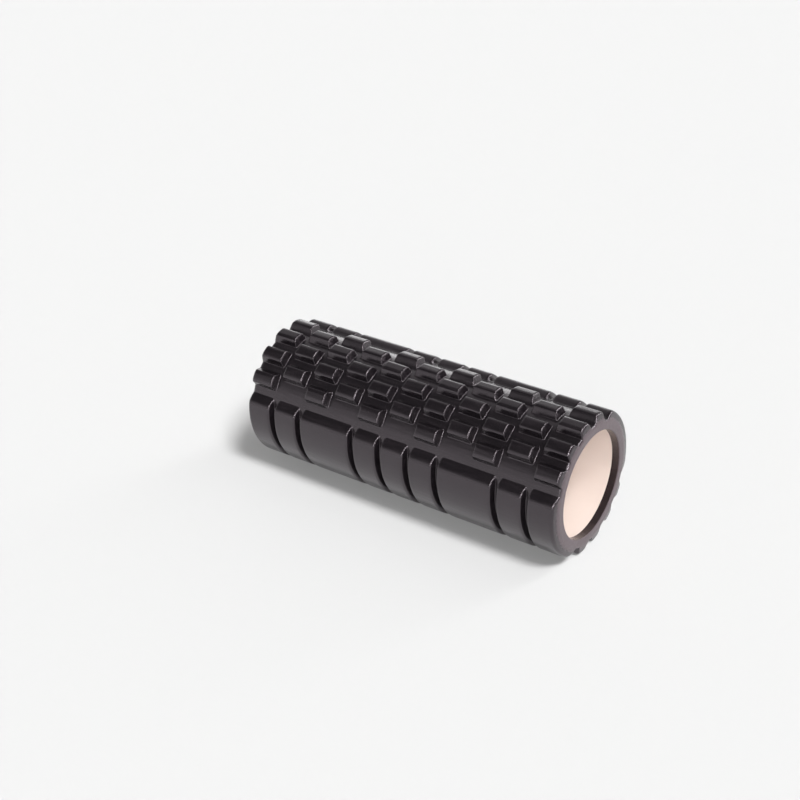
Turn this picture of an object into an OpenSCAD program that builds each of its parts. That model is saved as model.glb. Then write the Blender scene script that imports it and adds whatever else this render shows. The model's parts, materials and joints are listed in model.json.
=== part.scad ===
// Textured foam roller: a moulded foam sleeve bonded to a hollow core tube.
// The roller's axis is Y, +Z is up, and the origin is on the axis at mid-length.
// Angles are in degrees from the top, +Z, towards +X. Lengths are in millimetres.

/* [Roller] */
// Length over the end faces, which are flat round the mouth
roller_len = 330; // [250:1:400]
// Diameter over the bars and the bricks
outer_d = 132.6; // [130:0.2:138]
// Diameter of the land, the smooth ground between the raised bars and bricks
land_d = 118; // [114:0.5:121]
// Rounding of the sleeve's outer edge at each end face
end_round = 2.5; // [1:0.5:3]
// How far the outer edge of each end face is set back from its flat part
end_setback = 1.3; // [0.5:0.1:2]

/* [Core tube] */
// Outside diameter of the core tube
tube_od = 104; // [102:0.5:105]
// Wall thickness of the core tube
tube_wall = 2.5; // [2:0.1:3]
// Thickness of the bond layer between the tube and the sleeve
bond_t = 0.25; // [0.1:0.05:0.5]
// How far the foam runs past each end of the tube
lip_depth = 7.4; // [4:0.2:12]
// Chamfer where the bore meets each end face
bore_chamfer = 1; // [0.5:0.25:2]

/* [Columns] */
// Clear gap between neighbouring columns at the land
column_gap = 4.4; // [3:0.1:5.5]
// Length of a brick at its foot, along the roller
brick_len = 24.6; // [22:0.2:25]
// Length of a brick's flat top, along the roller
brick_top_len = 20.6; // [15:0.2:21.6]
// How far each wall of a bar leans in, from foot to top
bar_draft = 0.8; // [0:0.1:2]
// Rounding of the long top edges of the bars
bar_round = 2.4; // [1:0.2:3]

/* [Rows] */
// Angle from one row of bricks to the next
row_step = 11.2; // [11:0.05:11.6]
// Width of a brick at its foot, around the roller
brick_w = 17.2; // [14:0.2:18]
// Width of a brick's flat top, around the roller
brick_top_w = 9.6; // [6:0.2:11]
// Rounding of a brick's top edges
brick_round = 2.2; // [1:0.2:2.4]
// Angle that a zone of bars covers at its foot
bar_zone_angle = 84; // [78:0.5:88]
// Angle of the sloped ramp at each end of a bar
bar_ramp_angle = 7; // [4:0.5:10]

/* [Hidden] */
$fn = 96;

outer_r = outer_d / 2;
land_r = land_d / 2;
root_r = land_r - 1;
tube_r = tube_od / 2;
tube_len = roller_len - 2 * lip_depth;
end_y = roller_len / 2;
edge_y = end_y - end_setback;
face_r = land_r - 1;
overrun = 2;

// Eleven equal columns fill the length, and two pairs of them merge into the wide bars.
columns = 11;
pitch = (2 * edge_y + column_gap) / columns;
column_len = pitch - column_gap;
bar_spans = [[0, 0], [1, 1], [2, 3], [4, 4], [5, 5], [6, 6], [7, 8], [9, 9], [10, 10]];

// Seven rows of bricks fill a zone, and the zone's second row lies at the very top.
rows = 7;
top_row = 1;
zone_centre = ((rows - 1) / 2 - top_row) * row_step;

// Facets of a rounded edge, and how far shapes are drawn past a face that trims them.
edge_steps = 2;
reach = 12;

function column_mid(i) = -edge_y + i * pitch + column_len / 2;
function polar(r, a) = [r * sin(a), r * cos(a)];
function unit(v) = v / norm(v);

// Right-hand side of a tooth from its foot up to its top, with a rounded corner between.
function tooth_side(foot, top, low, high, round) =
    let (lean = atan2(high - low, foot - top))
    let (centre = [top - round * tan(lean / 2), high - round])
    let (edge = [for (k = [edge_steps:-1:0]) centre + round * polar(1, lean * k / edge_steps)])
    concat([[foot, low]], edge);

// Whole tooth, the same on both sides.
function tooth(foot, top, low, high, round) =
    let (side = tooth_side(foot / 2, top / 2, low, high, round))
    concat(side, [for (k = [len(side) - 1:-1:0]) [-side[k][0], side[k][1]]]);

// Draws a shape in the X-Z plane and extends it along the roller.
module along_axis(length) {
    rotate([90, 0, 0])
        linear_extrude(length, center = true)
            children();
}

// Draws a shape as radius and axial place and spins it about the roller's axis.
module about_axis() {
    rotate([-90, 0, 0])
        rotate_extrude()
            children();
}

// Sides of the bricks in every second column, seen along a tangent of the roller.
module brick_comb(first) {
    rotate([90, 0, 90])
        linear_extrude(2 * brick_w, center = true)
            for (i = [first:2:columns - 1])
                translate([column_mid(i), 0])
                    polygon(tooth(brick_len, brick_top_len, root_r, outer_r, brick_round));
}

// The end columns run straight out to the end faces, so their outer slope is filled in.
module end_blocks() {
    for (side = [-1, 1])
        translate([-brick_w, side * (end_y - column_len / 4) - column_len / 4, root_r])
            cube([2 * brick_w, column_len / 2, outer_r - root_r]);
}

// One row of bricks at the top of the roller.
module brick_row(first) {
    intersection() {
        along_axis(roller_len)
            polygon(tooth(brick_w, brick_top_w, root_r, outer_r, brick_round));
        union() {
            brick_comb(first);
            if (first == 0)
                end_blocks();
        }
    }
}

// A zone of bricks on each side of the roller, staggered from row to row.
module bricks() {
    for (half = [0, 180], k = [0:rows - 1])
        rotate([0, half + (k - top_row) * row_step, 0])
            brick_row(k % 2);
}

// Full rings with the section of the bars. The end bars, too, run straight out to the end faces.
module bar_rings() {
    about_axis() {
        for (span = bar_spans) {
            foot = (span[1] - span[0] + 1) * pitch - column_gap;
            translate([0, (column_mid(span[0]) + column_mid(span[1])) / 2])
                rotate(90)
                    mirror([0, 1])
                        polygon(tooth(foot, foot - 2 * bar_draft, root_r, outer_r, bar_round));
        }
        for (side = [-1, 1])
            translate([root_r, side * (end_y - column_len / 4) - column_len / 4])
                square([outer_r - root_r, column_len / 2]);
    }
}

// Cross-section of a zone of bars: ramped and eased at each end, and open outwards.
module bar_zone_section() {
    foot = polar(root_r, bar_zone_angle / 2);
    top = polar(outer_r, bar_zone_angle / 2 - bar_ramp_angle);
    ease = top - bar_round * unit(top - foot);
    past = ease + reach * unit(polar(1, -45) + unit(top - foot));
    side = [foot, ease, past];
    other_side = [for (k = [2:-1:0]) [-side[k][0], side[k][1]]];
    polygon(concat([[0, 0]], side, [[0, outer_r + 2 * reach]], other_side));
}

// A zone of bars on each side of the roller, between the zones of bricks.
module bars() {
    intersection() {
        bar_rings();
        along_axis(roller_len)
            for (half = [90, 270])
                rotate(-zone_centre - half)
                    bar_zone_section();
    }
}

// Envelope of the sleeve, with end faces that slope back outside their flat part.
module envelope() {
    about_axis()
        polygon([
            [0, -end_y],
            [face_r, -end_y],
            [outer_r - end_round, -edge_y],
            [outer_r, end_round - edge_y],
            [outer_r, edge_y - end_round],
            [outer_r - end_round, edge_y],
            [face_r, end_y],
            [0, end_y]
        ]);
}

// Everything inside the sleeve: the tube's seat, and a narrower chamfered mouth at each end.
module sleeve_bore() {
    seat_r = tube_r + bond_t;
    seat_y = tube_len / 2;
    mouth_r = tube_r - tube_wall;
    flare_r = mouth_r + bore_chamfer + overrun;
    about_axis()
        polygon([
            [0, -end_y - overrun],
            [flare_r, -end_y - overrun],
            [mouth_r, bore_chamfer - end_y],
            [mouth_r, -seat_y],
            [seat_r, -seat_y],
            [seat_r, seat_y],
            [mouth_r, seat_y],
            [mouth_r, end_y - bore_chamfer],
            [flare_r, end_y + overrun],
            [0, end_y + overrun]
        ]);
}

// Moulded foam sleeve with its bars and bricks.
module foam_sleeve() {
    color("#2b282c")
        difference() {
            intersection() {
                union() {
                    about_axis()
                        translate([0, -end_y])
                            square([land_r, roller_len]);
                    bricks();
                    bars();
                }
                envelope();
            }
            sleeve_bore();
        }
}

// Thin layer of adhesive that holds the sleeve on the tube.
module bond_layer() {
    color("#c9b98a")
        about_axis()
            translate([tube_r, -tube_len / 2])
                square([bond_t, tube_len]);
}

// Hollow plastic tube that carries the load.
module core_tube() {
    color("#f0ddd0")
        about_axis()
            translate([tube_r - tube_wall, -tube_len / 2])
                square([tube_wall, tube_len]);
}

foam_sleeve();
bond_layer();
core_tube();
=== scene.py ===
"""Looks of the foam roller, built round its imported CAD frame.

The roller's axis is Y, +Z is up, and the origin is on the axis at mid-length. Angles round the
roller are in degrees from the top, +Z, towards +X. Sizes are in millimetres until a mesh is
made, and then in metres.
"""

import json
import math

import bpy
import numpy as np
from mathutils import Matrix, Vector

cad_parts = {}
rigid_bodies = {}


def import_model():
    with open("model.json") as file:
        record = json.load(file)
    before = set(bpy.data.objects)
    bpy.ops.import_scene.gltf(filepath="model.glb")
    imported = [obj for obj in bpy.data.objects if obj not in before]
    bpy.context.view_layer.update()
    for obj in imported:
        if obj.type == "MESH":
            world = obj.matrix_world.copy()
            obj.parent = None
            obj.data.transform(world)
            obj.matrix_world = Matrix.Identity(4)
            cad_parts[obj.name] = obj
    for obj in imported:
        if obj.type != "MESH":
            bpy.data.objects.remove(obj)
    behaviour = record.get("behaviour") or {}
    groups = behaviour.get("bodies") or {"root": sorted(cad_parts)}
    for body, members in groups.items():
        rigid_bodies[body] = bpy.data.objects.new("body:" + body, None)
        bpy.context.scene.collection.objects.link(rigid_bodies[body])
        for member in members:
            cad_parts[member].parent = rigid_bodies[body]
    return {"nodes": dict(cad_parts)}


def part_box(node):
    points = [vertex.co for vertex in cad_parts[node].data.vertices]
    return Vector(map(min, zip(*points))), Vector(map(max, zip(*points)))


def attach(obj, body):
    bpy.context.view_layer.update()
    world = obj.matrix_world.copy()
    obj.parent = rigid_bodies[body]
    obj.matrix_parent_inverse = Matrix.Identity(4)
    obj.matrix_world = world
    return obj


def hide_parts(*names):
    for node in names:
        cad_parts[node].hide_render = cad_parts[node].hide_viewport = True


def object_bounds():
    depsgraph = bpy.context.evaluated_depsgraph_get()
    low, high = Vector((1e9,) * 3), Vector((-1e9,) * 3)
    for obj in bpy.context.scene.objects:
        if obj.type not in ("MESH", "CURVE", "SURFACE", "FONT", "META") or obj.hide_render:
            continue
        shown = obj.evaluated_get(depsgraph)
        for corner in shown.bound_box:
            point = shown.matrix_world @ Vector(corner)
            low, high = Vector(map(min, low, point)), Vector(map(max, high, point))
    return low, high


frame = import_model()
CAD_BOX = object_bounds()

M = 0.001  # metres in a millimetre


def node_reach(name):
    """Outer radius and half length of a round CAD node, in millimetres."""
    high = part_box(name)[1]
    return high.z / M, high.y / M


# Sizes from the frame
OUTER_R, END_Y = node_reach("foam_sleeve")
SEAT_R, SEAT_Y = node_reach("bond_layer")
FLOOR_Z = CAD_BOX[0][2]

# Sleeve: ground, mouth, and end faces, which slope back from FLAT_R out to EDGE_R
LAND_R = 59
RELIEF = OUTER_R - LAND_R
END_ROUND = 2.8
END_SETBACK = 1.3
FLAT_R, EDGE_R = 55.5, 64.5
EDGE_Y = END_Y - END_SETBACK
MOUTH_R = 49.5
MOUTH_ROUND = 0.8

# Columns along the roller. Two pairs of them merge into the wide bars.
COLUMNS = 11
COLUMN_GAP = 4.4
PITCH = (2 * EDGE_Y + COLUMN_GAP) / COLUMNS
BAR_SPANS = ((0, 0), (1, 1), (2, 3), (4, 4), (5, 5), (6, 6), (7, 8), (9, 9), (10, 10))

# Rows round the roller, in two zones. A zone's second row lies at the very top.
ROWS = 7
ROW_STEP = 11.2
BRICK_ZONES = (0, 180)
BAR_ZONES = (112.4, 292.4)

# Bricks: half sections along and across, each a flat, crown, crown's turn, shoulder, lean and
# fillet as in half_section, and how square the corners are, where 2 is a round one
BRICK_ALONG = (8.9, 0, 0, 2.2, 72, 1.2)
BRICK_ACROSS = (2.2, 7.2, 28, 1.2, 62, 1.3)
BRICK_CORNER = 5

# Bars: edges along the roller, and the ramps that their ends make round it
BAR_SHOULDER = 2.4
BAR_LEAN = 84
BAR_FILLET = 1.0
BAR_TOP_ANGLE = 35
RAMP_SHOULDER = 9
RAMP_LEAN = 45
RAMP_FILLET = 1.5

# Grid of the sleeve: steps of a rounded edge and of an end face, how far guard lines stand off
# an edge, and the closest and the widest spacing of lines, along the roller and round it
ARC_STEPS = 5
FACE_STEPS = 9
GUARD = 0.5
CLOSEST = 0.18
WIDEST_S = 6
WIDEST_T = 3

# Colours
FOAM_DARK, FOAM_LIGHT = (0.0075, 0.0060, 0.0073), (0.013, 0.0104, 0.0123)
# End faces: paler than the skin, partly their own paler, matt tone and partly painted light standing in
# for the light that falls on them
FOAM_END_TONE_AND_PAINTED_LIGHT = (0.076, 0.056, 0.062)
TUBE_DARK, TUBE_LIGHT = (0.72, 0.605, 0.545), (0.77, 0.655, 0.595)
TUBE_CLOUD = (0.79, 0.69, 0.63)
BOND_DARK, BOND_LIGHT = (0.42, 0.33, 0.17), (0.60, 0.52, 0.33)
PAPER_TONE = 0.25

# Studio: the paper floor's half width, its glow and the tone of the pale backdrop, and the soft
# lights, each as direction, strength, angle across and the group of pieces that it lights
FLOOR_HALF = 30
PAPER_GLOW = 0.17
BACKDROP_TONE = 0.92
LIGHTS = {
    "floor_light": ((0.22, 0.50, 0.76), 7.8, 14, "floor"),
    "key_light": ((0.46, 0.70, 0.50), 0.85, 5, "roller"),
    "overhead_light": ((0.0, 0.47, 0.88), 0.6, 8, "roller"),
}
# Surroundings, by the direction looked at: how they dim upwards, as height and strength, and
# round glows, as direction, inner and outer angle and strength
DIM_FROM, DIM_TO = (0.08, 0.92), (0.68, 0.09)
GLOWS = (((-0.86, -0.51, 0.02), 5, 13, 2.0), ((-0.60, -0.51, 0.60), 8, 30, 0.40))
# A softbox that arches over the near end: where it sets in and ends along Y, and above the floor
ARCH_START, ARCH_END, ARCH_FOOT = (0.36, 0.40), (0.47, 0.52), (0.05, 0.25)
ARCH_STRENGTH = 11.5


def half_section(flat, crown, crown_turn, shoulder, lean, fillet):
    """Half section of a raised feature: distances from its middle, and the height at each.

    From the middle out: a flat, a crown of one radius that turns crown_turn degrees, a shoulder
    of a smaller radius that turns on to the wall's lean, the straight wall, and a hollow fillet.
    """
    turn, steep = math.radians(crown_turn), math.radians(lean)
    crown_arc = np.linspace(0, turn, ARC_STEPS + 1) if turn else np.zeros(1)
    shoulder_arc = np.linspace(turn, steep, ARC_STEPS + 1)
    foot_arc = np.linspace(steep, 0, ARC_STEPS + 1)
    reach = [flat + crown * np.sin(crown_arc)]
    rise = [RELIEF - crown * (1 - np.cos(crown_arc))]
    reach.append(reach[0][-1] + shoulder * (np.sin(shoulder_arc) - math.sin(turn)))
    rise.append(rise[0][-1] - shoulder * (math.cos(turn) - np.cos(shoulder_arc)))
    wall_foot = fillet * (1 - math.cos(steep))
    toe = reach[1][-1] + (rise[1][-1] - wall_foot) / math.tan(steep) + fillet * math.sin(steep)
    reach.append(toe - fillet * np.sin(foot_arc))
    rise.append(fillet * (1 - np.cos(foot_arc)))
    reach, rise = np.concatenate(reach), np.concatenate(rise)
    fresh = np.concatenate([[True], np.diff(reach) > 1e-6])
    return reach[fresh], rise[fresh]


def feature_lines(middle, reach):
    """Grid lines that a feature needs: its half section's own points, and a guard line past each end."""
    reach = np.concatenate([[max(reach[0] - GUARD, 0)], reach, [reach[-1] + GUARD]])
    return np.concatenate([middle - reach, middle + reach])


def spaced(groups, closest):
    """Grid lines of every group in order, earlier groups first, with none too close to another."""
    kept = []
    for group in groups:
        for line in sorted(group):
            if all(abs(line - other) > closest for other in kept):
                kept.append(line)
    return np.array(sorted(kept))


def filled(lines, widest):
    """Grid lines with evenly spaced extra ones wherever two are further apart than widest."""
    out = []
    for a, b in zip(lines[:-1], lines[1:]):
        parts = max(1, math.ceil((b - a) / widest))
        out.extend(a + (b - a) * k / parts for k in range(parts))
    return np.array(out + [lines[-1]])


def span_middle(span):
    """Middle of the columns from span[0] to span[1], along the roller."""
    return -EDGE_Y + (span[0] + span[1] + 1) / 2 * PITCH - COLUMN_GAP / 2


def span_half(span):
    """Half length of the columns from span[0] to span[1], at the land."""
    return ((span[1] - span[0] + 1) * PITCH - COLUMN_GAP) / 2


def arc(degrees):
    """Length round the outside of the roller, in millimetres, of an angle in degrees."""
    return OUTER_R * math.radians(degrees)


def wrapped(lengths):
    """Lengths round the roller brought to within half a turn."""
    turn = arc(360)
    return (lengths + turn / 2) % turn - turn / 2


BRICK_S = half_section(*BRICK_ALONG)
BRICK_T = half_section(*BRICK_ACROSS)
RAMP_FLAT = arc(BAR_TOP_ANGLE) - RAMP_SHOULDER * math.tan(math.radians(RAMP_LEAN / 2))
RAMP_T = half_section(RAMP_FLAT, 0, 0, RAMP_SHOULDER, RAMP_LEAN, RAMP_FILLET)


def bar_profile(span):
    """Half section of a bar along the roller."""
    draft = RELIEF / math.tan(math.radians(BAR_LEAN))
    flat = span_half(span) - draft - BAR_SHOULDER * math.tan(math.radians(BAR_LEAN / 2))
    return half_section(flat, 0, 0, BAR_SHOULDER, BAR_LEAN, BAR_FILLET)


def brick_places():
    """Middle of every brick, along the roller and round it."""
    for zone in BRICK_ZONES:
        for row in range(ROWS):
            for column in range(row % 2, COLUMNS, 2):
                yield column, arc(zone + (row - 1) * ROW_STEP)


def brick_height(s, t, column, around):
    """Height of one brick over the land on the grid lines s and t. The end ones run to the end faces."""
    ds = np.abs(s - span_middle((column, column)))
    if column == 0:
        ds = np.where(s < span_middle((0, 0)), 0, ds)
    if column == COLUMNS - 1:
        ds = np.where(s > span_middle((column, column)), 0, ds)
    dt = np.abs(wrapped(t - around))
    fall_s = (RELIEF - np.interp(ds, *BRICK_S))[:, None]
    fall_t = (RELIEF - np.interp(dt, *BRICK_T))[None, :]
    fall = (fall_s**BRICK_CORNER + fall_t**BRICK_CORNER) ** (1 / BRICK_CORNER)
    return np.maximum(RELIEF - fall, 0)


def bar_height(s, t, span, zone):
    """Height of one bar over the land on the grid lines s and t. The end bars run to the end faces."""
    ds = np.abs(s - span_middle(span))
    if span[0] == 0:
        ds = np.where(s < span_middle(span), 0, ds)
    if span[1] == COLUMNS - 1:
        ds = np.where(s > span_middle(span), 0, ds)
    dt = np.abs(wrapped(t - arc(zone)))
    along = np.interp(ds, *bar_profile(span))[:, None]
    across = np.interp(dt, *RAMP_T)[None, :]
    return np.maximum(along + across - RELIEF, 0)


def relief(s, t):
    """Height over the land of all the bricks and bars on the grid lines s and t."""
    height = np.zeros((len(s), len(t)))
    for column, around in brick_places():
        height = np.maximum(height, brick_height(s, t, column, around))
    for zone in BAR_ZONES:
        for span in BAR_SPANS:
            height = np.maximum(height, bar_height(s, t, span, zone))
    return height


def axial_lines():
    """Grid lines along the roller, up to where its end edges start to round off."""
    straight = EDGE_Y - END_ROUND
    bars = [feature_lines(span_middle(span), bar_profile(span)[0]) for span in BAR_SPANS]
    bricks = [feature_lines(span_middle((i, i)), BRICK_S[0]) for i in range(COLUMNS)]
    inner = [[x for x in group if abs(x) < straight - GUARD] for group in bars + bricks]
    return filled(spaced([[-straight, straight]] + inner, CLOSEST), WIDEST_S)


def around_lines():
    """Grid lines round the roller, as lengths round its outside."""
    turn = arc(360)
    ramps = [feature_lines(arc(zone), RAMP_T[0]) for zone in BAR_ZONES]
    places = sorted({around for _, around in brick_places()})
    bricks = [feature_lines(around, BRICK_T[0]) for around in places]
    groups = [[x % turn for x in group] for group in ramps + bricks]
    lines = spaced(groups, CLOSEST)
    return filled(np.append(lines, lines[0] + turn), WIDEST_T)[:-1]


def face_y(radius):
    """Place along the roller of the +Y end face at a radius: flat at first, then set back smoothly."""
    out = np.clip((radius - FLAT_R) / (EDGE_R - FLAT_R), 0, 1)
    return END_Y - END_SETBACK * out**2 * (3 - 2 * out)


def end_rings(outside):
    """Rings from the rounded outer edge of the +Y end face to the tube's seat: radius and place."""
    turns = np.radians(np.linspace(0, 90, ARC_STEPS + 1))
    edge, start = outside - END_ROUND, EDGE_Y - END_ROUND
    rise = face_y(edge) - start
    rings = [(edge + END_ROUND * math.cos(a), start + rise * math.sin(a)) for a in turns[1:]]
    rim = MOUTH_R + MOUTH_ROUND
    across = [edge + (rim - edge) * k / FACE_STEPS for k in range(1, FACE_STEPS)]
    rings += [(radius, face_y(radius)) for radius in across]
    centre_y = END_Y - MOUTH_ROUND
    bends = [(rim - MOUTH_ROUND * math.sin(a), centre_y + MOUTH_ROUND * math.cos(a)) for a in turns]
    wall = [(MOUTH_R, y) for y in (centre_y - 2 * GUARD, (END_Y + SEAT_Y) / 2, SEAT_Y + GUARD, SEAT_Y)]
    seat = [((MOUTH_R + SEAT_R) / 2, SEAT_Y), (SEAT_R, SEAT_Y)]
    return rings + [(np.full_like(outside, radius), y) for radius, y in bends + wall + seat]


def sleeve_points():
    """All rings of the sleeve, in order round its closed section, as an array of points."""
    s, t = axial_lines(), around_lines()
    angle = t / OUTER_R
    radius = LAND_R + relief(s, t)
    rings = [(radius[k], s[k]) for k in range(len(s))]
    rings += end_rings(radius[-1])
    rings += [(r, -y) for r, y in reversed(end_rings(radius[0]))]
    points = []
    for r, y in rings:
        points.append([r * np.sin(angle), np.broadcast_to(y, angle.shape), r * np.cos(angle)])
    return np.array(points)


def closed_grid(name, points):
    """Mesh object from rings of points: each ring closes on itself, and the last meets the first."""
    rings, across = points.shape[0], points.shape[2]
    coords = points.transpose(0, 2, 1).reshape(-1, 3) * M
    ring, step = np.meshgrid(np.arange(rings), np.arange(across), indexing="ij")
    next_ring, next_step = (ring + 1) % rings, (step + 1) % across
    corners = [ring * across + step, ring * across + next_step]
    corners += [next_ring * across + next_step, next_ring * across + step]
    faces = np.stack(corners, axis=-1).reshape(-1, 4)
    mesh = bpy.data.meshes.new(name)
    mesh.from_pydata(coords.tolist(), [], faces.tolist())
    mesh.shade_smooth()
    piece = bpy.data.objects.new(name, mesh)
    bpy.context.scene.collection.objects.link(piece)
    return piece


class Shader:
    """The node tree of a material or a world, and short calls that add nodes to it."""

    def __init__(self, owner):
        self.owner = owner
        owner.use_nodes = True
        self.nodes = owner.node_tree.nodes
        self.links = owner.node_tree.links
        self.bsdf = self.nodes.get("Principled BSDF")

    def link(self, out, socket):
        self.links.new(out, socket)

    def set(self, **values):
        """Constant values on the shader's own sockets."""
        for name, value in values.items():
            self.bsdf.inputs[name.replace("_", " ")].default_value = value

    def place(self, scale=(1, 1, 1)):
        """Position on the object, in metres, stretched by scale."""
        coord = self.nodes.new("ShaderNodeTexCoord")
        mapping = self.nodes.new("ShaderNodeMapping")
        mapping.inputs["Scale"].default_value = scale
        self.link(coord.outputs["Object"], mapping.inputs["Vector"])
        return mapping.outputs["Vector"]

    def noise(self, scale, detail=3, roughness=0.5, stretch=(1, 1, 1)):
        node = self.nodes.new("ShaderNodeTexNoise")
        node.inputs["Scale"].default_value = scale
        node.inputs["Detail"].default_value = detail
        node.inputs["Roughness"].default_value = roughness
        self.link(self.place(stretch), node.inputs["Vector"])
        return node.outputs["Fac"]

    def ranged(self, value, low, high, to_low, to_high):
        """Value mapped smoothly from low..high to to_low..to_high."""
        node = self.nodes.new("ShaderNodeMapRange")
        node.interpolation_type = "SMOOTHSTEP"
        for socket, number in zip(node.inputs[1:5], (low, high, to_low, to_high)):
            socket.default_value = number
        self.link(value, node.inputs["Value"])
        return node.outputs["Result"]

    def math(self, operation, a, b=None):
        node = self.nodes.new("ShaderNodeMath")
        node.operation = operation
        for socket, value in zip(node.inputs, (a, b)):
            if isinstance(value, (int, float)):
                socket.default_value = value
            elif value is not None:
                self.link(value, socket)
        return node.outputs[0]

    def mix(self, factor, a, b):
        """Colour a, going to b as the factor rises."""
        node = self.nodes.new("ShaderNodeMix")
        node.data_type = "RGBA"
        self.link(factor, node.inputs["Factor"])
        for socket, colour in ((node.inputs[6], a), (node.inputs[7], b)):
            if isinstance(colour, tuple):
                socket.default_value = (*colour, 1)
            else:
                self.link(colour, socket)
        return node.outputs[2]

    def bump(self, height, distance, strength, under=None):
        node = self.nodes.new("ShaderNodeBump")
        node.inputs["Strength"].default_value = strength
        node.inputs["Distance"].default_value = distance
        self.link(height, node.inputs["Height"])
        if under is not None:
            self.link(under, node.inputs["Normal"])
        return node.outputs["Normal"]


def foam_material():
    """Moulded closed-cell foam: near-black with a faint mauve cast, a satin skin and a fine grain."""
    foam = Shader(bpy.data.materials.new("eva_foam"))
    split = foam.nodes.new("ShaderNodeSeparateXYZ")
    foam.link(foam.place(), split.inputs["Vector"])
    from_middle = foam.math("ABSOLUTE", split.outputs["Y"])
    # Mask of the end faces: it makes them more matt, and it paints them paler, partly their own tone and
    # partly painted light
    end = foam.ranged(from_middle, (END_Y - 1.2) * M, (END_Y - 0.2) * M, 0, 1)
    blotch = foam.noise(38, detail=4)
    streak = foam.noise(300, detail=4, roughness=0.6, stretch=(1, 0.12, 1))
    grain = foam.noise(2600, detail=2)
    tone = foam.mix(foam.ranged(streak, 0.4, 0.7, 0, 1), FOAM_DARK, FOAM_LIGHT)
    foam.link(foam.mix(end, tone, FOAM_END_TONE_AND_PAINTED_LIGHT), foam.bsdf.inputs["Base Color"])
    satin = foam.ranged(blotch, 0.3, 0.7, 0.13, 0.19)
    satin = foam.math("ADD", satin, foam.ranged(streak, 0.35, 0.65, 0, 0.05))
    satin = foam.math("ADD", satin, foam.math("MULTIPLY", end, 0.18))
    foam.link(satin, foam.bsdf.inputs["Roughness"])
    soft = foam.bump(streak, 0.0004, 0.5)
    foam.link(foam.bump(grain, 0.00006, 0.5, soft), foam.bsdf.inputs["Normal"])
    foam.set(IOR=1.5, Specular_IOR_Level=0.80, Specular_Tint=(1, 0.89, 0.96, 1))
    return foam.owner


def tube_material():
    """Extruded plastic: cream with a peach cast, faintly streaked along the tube."""
    tube = Shader(bpy.data.materials.new("core_plastic"))
    streak = tube.noise(60, detail=3, stretch=(1, 0.06, 1))
    cloud = tube.noise(14, detail=2)
    colour = tube.mix(streak, TUBE_DARK, TUBE_LIGHT)
    colour = tube.mix(tube.ranged(cloud, 0.35, 0.7, 0, 0.4), colour, TUBE_CLOUD)
    tube.link(colour, tube.bsdf.inputs["Base Color"])
    tube.link(tube.ranged(streak, 0.3, 0.7, 0.42, 0.55), tube.bsdf.inputs["Roughness"])
    tube.link(tube.bump(streak, 0.0003, 0.25), tube.bsdf.inputs["Normal"])
    tube.set(IOR=1.49)
    return tube.owner


def bond_material():
    """Dried contact adhesive: dull amber, uneven."""
    bond = Shader(bpy.data.materials.new("adhesive"))
    patch = bond.noise(90, detail=5)
    bond.link(bond.mix(patch, BOND_DARK, BOND_LIGHT), bond.bsdf.inputs["Base Color"])
    bond.link(bond.ranged(patch, 0.3, 0.7, 0.5, 0.8), bond.bsdf.inputs["Roughness"])
    bond.link(bond.bump(patch, 0.0003, 0.5), bond.bsdf.inputs["Normal"])
    return bond.owner


def floor_material():
    """Matt pale paper with an even glow of its own."""
    paper = Shader(bpy.data.materials.new("floor_paper"))
    paper.set(Base_Color=(PAPER_TONE, PAPER_TONE, PAPER_TONE, 1), Roughness=1.0, Specular_IOR_Level=0)
    paper.set(Emission_Color=(1, 1, 1, 1), Emission_Strength=PAPER_GLOW)
    return paper.owner


def assign(piece, material):
    """The piece wears only this material."""
    piece.data.materials.clear()
    piece.data.materials.append(material)


def build_roller():
    """The sleeve as a detailed piece, and the two CAD nodes inside it with their materials."""
    sleeve = closed_grid("textured_sleeve", sleeve_points())
    assign(sleeve, foam_material())
    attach(sleeve, "root")
    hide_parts("foam_sleeve")
    assign(frame["nodes"]["core_tube"], tube_material())
    assign(frame["nodes"]["bond_layer"], bond_material())


def build_floor():
    """A pale floor under the roller, large enough to reach past every view."""
    mesh = bpy.data.meshes.new("floor")
    signs = ((-1, -1), (1, -1), (1, 1), (-1, 1))
    corners = [(x * FLOOR_HALF, y * FLOOR_HALF, FLOOR_Z) for x, y in signs]
    mesh.from_pydata(corners, [], [(0, 1, 2, 3)])
    floor = bpy.data.objects.new("floor", mesh)
    bpy.context.scene.collection.objects.link(floor)
    assign(floor, floor_material())


def add_sun(name, towards, strength, angle, lit):
    """A soft, distant studio light from the direction given, on one group of pieces only."""
    light = bpy.data.lights.new(name, "SUN")
    light.energy = strength
    light.angle = math.radians(angle)
    lamp = bpy.data.objects.new(name, light)
    lamp.matrix_world = Vector(towards).to_track_quat("Z", "Y").to_matrix().to_4x4()
    lamp.light_linking.receiver_collection = lit
    bpy.context.scene.collection.objects.link(lamp)


def build_lights():
    """Soft studio lights, some on the floor and some on the roller."""
    groups = {name: bpy.data.collections.new(name) for name in ("floor", "roller")}
    for piece in bpy.data.objects:
        if piece.type == "MESH":
            groups["floor" if piece.name == "floor" else "roller"].objects.link(piece)
    for name, (towards, strength, angle, lit) in LIGHTS.items():
        add_sun(name, towards, strength, angle, groups[lit])


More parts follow.
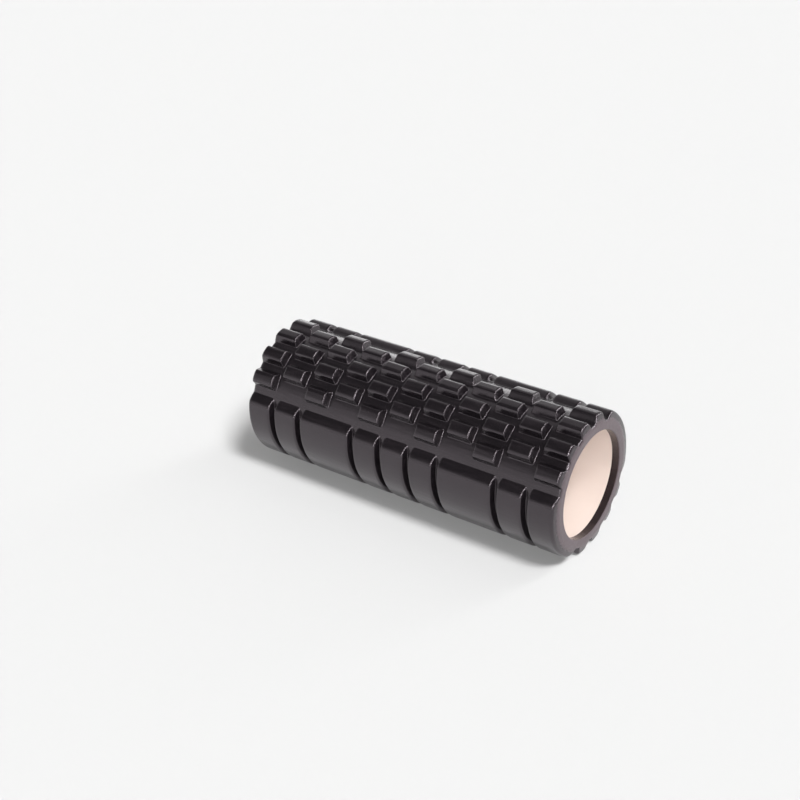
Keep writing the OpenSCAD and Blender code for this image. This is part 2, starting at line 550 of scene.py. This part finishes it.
def build_surround():
    """Pale surroundings with glows and the arch. The camera itself sees an even backdrop."""
    world = bpy.data.worlds.new("studio")
    bpy.context.scene.world = world
    sky = Shader(world)
    towards = sky.nodes.new("ShaderNodeTexCoord").outputs["Generated"]
    split = sky.nodes.new("ShaderNodeSeparateXYZ")
    sky.link(towards, split.inputs["Vector"])
    height, along = split.outputs["Z"], split.outputs["Y"]
    light = sky.ranged(height, DIM_FROM[0], DIM_TO[0], DIM_FROM[1], DIM_TO[1])
    for middle, inner, outer, strength in GLOWS:
        near = sky.nodes.new("ShaderNodeVectorMath")
        near.operation = "DOT_PRODUCT"
        near.inputs[1].default_value = Vector(middle).normalized()
        sky.link(towards, near.inputs[0])
        edge, core = math.cos(math.radians(outer)), math.cos(math.radians(inner))
        light = sky.math("ADD", light, sky.ranged(near.outputs["Value"], edge, core, 0, strength))
    arch = sky.math("MULTIPLY", sky.ranged(along, *ARCH_START, 0, 1), sky.ranged(along, *ARCH_END, 1, 0))
    arch = sky.math("MULTIPLY", arch, sky.ranged(height, *ARCH_FOOT, 0, ARCH_STRENGTH))
    light = sky.math("ADD", light, arch)
    seen = sky.nodes.new("ShaderNodeMix")
    sky.link(sky.nodes.new("ShaderNodeLightPath").outputs["Is Camera Ray"], seen.inputs["Factor"])
    sky.link(light, seen.inputs["A"])
    seen.inputs["B"].default_value = BACKDROP_TONE
    sky.link(seen.outputs["Result"], sky.nodes["Background"].inputs["Strength"])
    sky.nodes["Background"].inputs["Color"].default_value = (1, 1, 1, 1)


def build_camera():
    """The camera stands off the near end, a little above, and looks down along the roller."""
    azimuth, elevation, roll = (math.radians(a) for a in (126.34, 30.80, -2.41))
    distance, aside, above = 1318.3, -29.56, 28.27
    level = Vector((math.cos(azimuth), math.sin(azimuth), 0))
    ahead = Vector((math.sin(azimuth), -math.cos(azimuth), 0))
    back = ahead * math.cos(elevation) + Vector((0, 0, math.sin(elevation)))
    tilt = Matrix.Rotation(roll, 3, back)
    right = tilt @ level
    up = tilt @ back.cross(level)
    data = bpy.data.cameras.new("camera")
    data.lens = 64.99
    data.sensor_width = 36
    data.clip_end = 100
    camera = bpy.data.objects.new("camera", data)
    place = (back * distance + right * aside + up * above) * M
    turned = Matrix((right, up, back)).transposed().to_4x4()
    camera.matrix_world = Matrix.Translation(place) @ turned
    bpy.context.scene.collection.objects.link(camera)
    bpy.context.scene.camera = camera


build_camera()
build_roller()
build_floor()
build_lights()
build_surround()
bpy.context.scene.view_settings.view_transform = "Standard"
